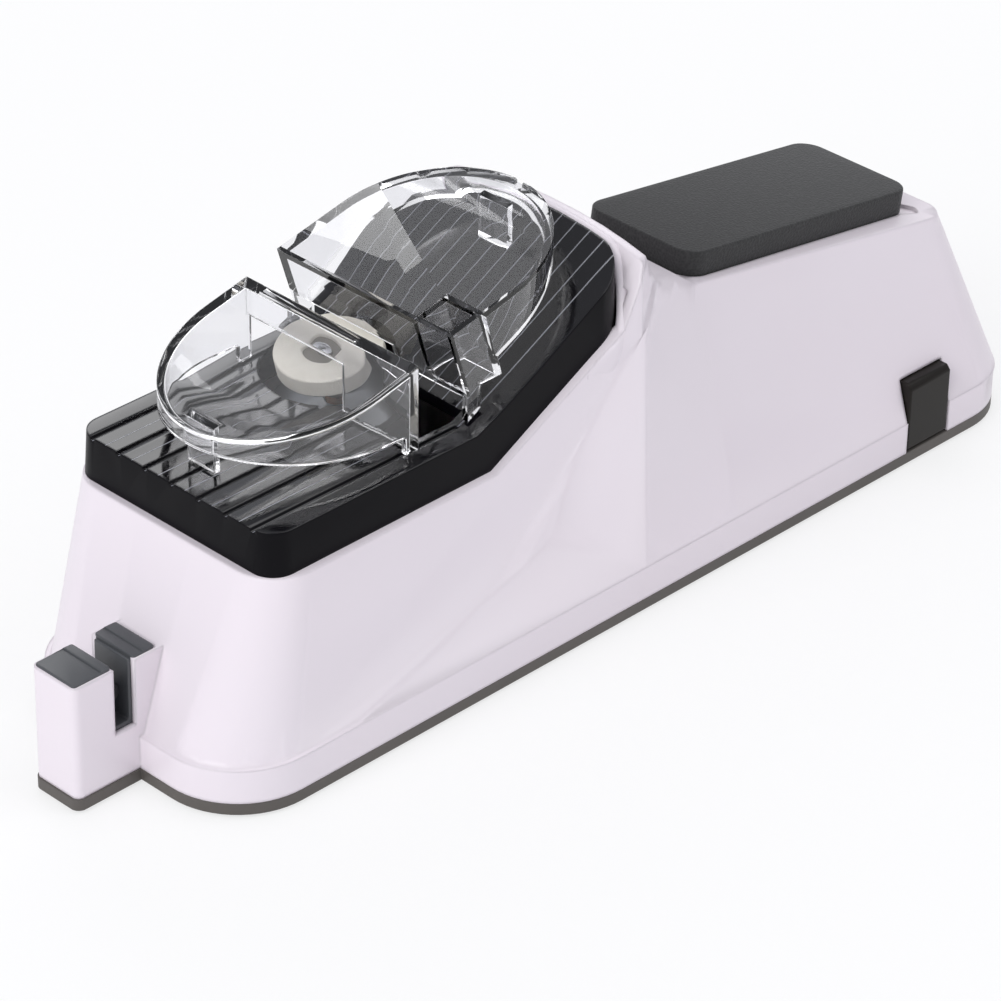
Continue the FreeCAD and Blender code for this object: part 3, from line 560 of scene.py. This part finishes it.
def nose_cap(name, x1, x2, bar_x):
    """A block between two places along X with rounded corners, raised past bar_x, in millimetres."""
    low = Vector((x1, -CAP_HALF_WIDTH, LINER_TOP - CAP_SINK)) * MM
    high = Vector((x2, CAP_HALF_WIDTH, LINER_TOP + CAP_RISE)) * MM
    bm = bmesh.new()
    bmesh.ops.create_cube(bm, size=1.0)
    bmesh.ops.scale(bm, vec=high - low, verts=bm.verts)
    bmesh.ops.translate(bm, vec=(low + high) / 2, verts=bm.verts)
    posts = [e for e in bm.edges if abs(e.verts[0].co.z - e.verts[1].co.z) > (high.z - low.z) / 2]
    bmesh.ops.bevel(bm, geom=posts, offset=CAP_CORNER * MM, offset_type="OFFSET", segments=4, profile=0.5,
                    material=-1, affect="EDGES")
    bmesh.ops.bisect_plane(bm, geom=everything(bm), plane_co=(bar_x * MM, 0, 0), plane_no=(1, 0, 0),
                           dist=CUT_WITHIN)
    tops = [f for f in bm.faces if f.normal.z > CAP_TOP_FACING]
    bar = [f for f in tops if f.calc_center_median().x > bar_x * MM]
    bmesh.ops.inset_region(bm, faces=bar, thickness=BAR_SLOPE * MM, depth=BAR_RISE * MM)
    rims = []
    for e in bm.edges:
        turned = len(e.link_faces) == 2 and e.calc_face_angle(0) > CAP_EDGE_RADIANS
        if turned and any(f.normal.z > CAP_TOP_FACING for f in e.link_faces):
            rims.append(e)
    bmesh.ops.bevel(bm, geom=rims, offset=CAP_ROUND * MM, offset_type="OFFSET", segments=3, profile=0.5,
                    material=-1, affect="EDGES", clamp_overlap=True)
    piece(name, bm, "body", "dark_plastic_2", abs_liner, sharp=35)


nose_cap("nose_cap_front", LINER_X1 - CAP_PAST_FRONT, SLOT_X1 - CAP_GAP, SLOT_X1 - BAR_FROM_SLOT)
nose_cap("nose_cap_rear", SLOT_X2 + CAP_GAP, LINER_X2 + CAP_PAST_REAR, SLOT_X2 + BAR_FROM_SLOT)

# foam pad: cut slab with rounded corners and softly pressed rims, lying on the sloping deck
PAD_CORNER, PAD_RIM = 5.0, 0.5
PAD_TOP_FACING = 0.9
low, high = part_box("foam_pad")
tilt = math.atan(DECK_FALL)
span_x, span_y, span_z = (b - a for a, b in zip(low, high))
pad_thick = (span_z * math.cos(tilt) - span_x * math.sin(tilt)) / math.cos(2 * tilt)
pad_long = (span_x - pad_thick * math.sin(tilt)) / math.cos(tilt)
bm = bmesh.new()
bmesh.ops.create_cube(bm, size=1.0)
bmesh.ops.scale(bm, vec=(pad_long, span_y, pad_thick), verts=bm.verts)
posts = [e for e in bm.edges if abs(e.verts[0].co.z - e.verts[1].co.z) > pad_thick / 2]
bmesh.ops.bevel(bm, geom=posts, offset=PAD_CORNER * MM, offset_type="OFFSET", segments=8, profile=0.5,
                material=-1, affect="EDGES")
rims = [e for e in bm.edges if any(abs(f.normal.z) > PAD_TOP_FACING for f in e.link_faces)]
bmesh.ops.bevel(bm, geom=rims, offset=PAD_RIM * MM, offset_type="OFFSET", segments=3, profile=0.5,
                material=-1, affect="EDGES")
place = Matrix.Translation(Vector([(a + b) / 2 for a, b in zip(low, high)]))
bmesh.ops.transform(bm, matrix=place @ Matrix.Rotation(tilt, 4, "Y"), verts=bm.verts)
pad = piece("foam_pad_cut", bm, "body", "foam", charcoal_foam, sharp=30)
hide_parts("foam_pad")

# coil spring behind the button, wound from bright wire
WIRE_R, COIL_TURNS, COIL_STEPS = 0.3 * MM, 3.5, 84
low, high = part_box("button_spring")
mid_x, mid_z = (low[0] + high[0]) / 2, (low[2] + high[2]) / 2
coil_r = (high[2] - low[2]) / 2 - WIRE_R
step_y = (high[1] - low[1] - 2 * WIRE_R) / COIL_STEPS
bm = bmesh.new()
bmesh.ops.create_circle(bm, cap_ends=True, radius=WIRE_R, segments=8)
bmesh.ops.translate(bm, vec=(mid_x + coil_r, low[1] + WIRE_R, mid_z), verts=bm.verts)
bmesh.ops.spin(bm, geom=everything(bm), cent=(mid_x, 0, mid_z), axis=(0, 1, 0), dvec=(0, step_y, 0),
               angle=math.radians(360 * COIL_TURNS), steps=COIL_STEPS, use_merge=False,
               use_normal_flip=False, use_duplicate=False)
coil = piece("button_spring_coil", bm, "body", "bright_steel", bright_steel)
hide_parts("button_spring")
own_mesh(coil)

# floor: matt white paper that keeps the shadow, and looks mostly plain white to the camera, in reflections
# and through clear walls
FLOOR_HALF = 4.0
FLOOR_PLAIN_SHARE = 0.7
floor_mat, ft, _ = start("studio_floor_matt_paper")
paper = add(ft, "ShaderNodeBsdfPrincipled", Base_Color=lin(FLOOR_WHITE), Roughness=0.9)
white = add(ft, "ShaderNodeEmission", Color=PURE_WHITE, Strength=1.0)
ray = add(ft, "ShaderNodeLightPath")
straight = add(ft, "ShaderNodeMath", {"operation": "MAXIMUM"}, i0=ray.outputs["Is Camera Ray"],
               i1=ray.outputs["Is Transmission Ray"])
seen = add(ft, "ShaderNodeMath", {"operation": "MAXIMUM"}, i0=straight.outputs[0],
           i1=ray.outputs["Is Glossy Ray"])
share = add(ft, "ShaderNodeMath", {"operation": "MULTIPLY"}, i0=seen.outputs[0], i1=FLOOR_PLAIN_SHARE)
blend = add(ft, "ShaderNodeMixShader", Fac=share.outputs[0], i1=paper.outputs[0], i2=white.outputs[0])
finish_material(ft, blend.outputs[0])
bm = bmesh.new()
bmesh.ops.create_grid(bm, x_segments=1, y_segments=1, size=FLOOR_HALF)
floor_mesh = bpy.data.meshes.new("floor")
bm.to_mesh(floor_mesh)
bm.free()
floor_mesh.materials.append(floor_mat)
floor = bpy.data.objects.new("floor", floor_mesh)
bpy.context.scene.collection.objects.link(floor)

# world: plain white to the camera and through clear walls, a softer fill for the light on the object
FILL_STRENGTH = 0.55
scene = bpy.context.scene
scene.view_settings.view_transform = "Standard"
world = bpy.data.worlds.new("studio")
scene.world = world
world.use_nodes = True
wt = world.node_tree
wt.nodes.clear()
path = add(wt, "ShaderNodeLightPath")
seen = add(wt, "ShaderNodeMath", {"operation": "MAXIMUM"}, i0=path.outputs["Is Camera Ray"],
           i1=path.outputs["Is Transmission Ray"])
fill = add(wt, "ShaderNodeBackground", Color=lin(FILL_WHITE), Strength=FILL_STRENGTH)
plain = add(wt, "ShaderNodeBackground", Color=PURE_WHITE, Strength=1.0)
mix = add(wt, "ShaderNodeMixShader", Fac=seen.outputs[0], i1=fill.outputs[0], i2=plain.outputs[0])
add(wt, "ShaderNodeOutputWorld", Surface=mix.outputs[0])

LAMPS_AIM = (0.0, 0.0, 0.04)


def softbox(name, place, size, power):
    """A rectangular lamp at a place in metres, facing the middle of the object, with its power in watts."""
    data = bpy.data.lights.new(name, "AREA")
    data.shape = "RECTANGLE"
    data.size, data.size_y = size
    data.energy = power
    obj = bpy.data.objects.new(name, data)
    scene.collection.objects.link(obj)
    obj.location = place
    obj.rotation_euler = (Vector(place) - Vector(LAMPS_AIM)).to_track_quat("Z", "Y").to_euler()


softbox("key_left_front", (-0.95, -0.15, 0.75), (0.8, 0.8), 7.4)
softbox("back_window", (0.6, 0.65, 0.6), (1.2, 0.32), 3.2)
softbox("right_fill", (0.5, -0.7, 1.05), (0.9, 0.9), 3.9)

# camera, placed to match the photograph's angle, in metres and pixels
CAM_AZ = math.radians(-45.86)
CAM_EL = math.radians(32.02)
CAM_ROLL = math.radians(1.1)
CAM_DIST, CAM_SIDE, CAM_RISE = 0.970, -0.00933, 0.00883
BODY_SHIFT = 0.0082
FOCAL_PX, SENSOR_MM, CLIP_END = 4550.0, 36.0, 20.0
right = Vector((math.cos(CAM_AZ), math.sin(CAM_AZ), 0))
back = Vector((math.sin(CAM_AZ) * math.cos(CAM_EL), -math.cos(CAM_AZ) * math.cos(CAM_EL), math.sin(CAM_EL)))
up = back.cross(right)
cam_x = right * math.cos(CAM_ROLL) + up * math.sin(CAM_ROLL)
cam_y = -right * math.sin(CAM_ROLL) + up * math.cos(CAM_ROLL)
eye = back * CAM_DIST + cam_x * CAM_SIDE + cam_y * CAM_RISE + Vector((BODY_SHIFT, 0, 0))
cam_data = bpy.data.cameras.new("camera")
cam_data.sensor_width = SENSOR_MM
cam_data.lens = FOCAL_PX / IMAGE_PX * SENSOR_MM
cam_data.clip_end = CLIP_END
cam = bpy.data.objects.new("camera", cam_data)
scene.collection.objects.link(cam)
cam.matrix_world = Matrix(((cam_x.x, cam_y.x, back.x, eye.x), (cam_x.y, cam_y.y, back.y, eye.y),
                           (cam_x.z, cam_y.z, back.z, eye.z), (0, 0, 0, 1)))
scene.camera = cam
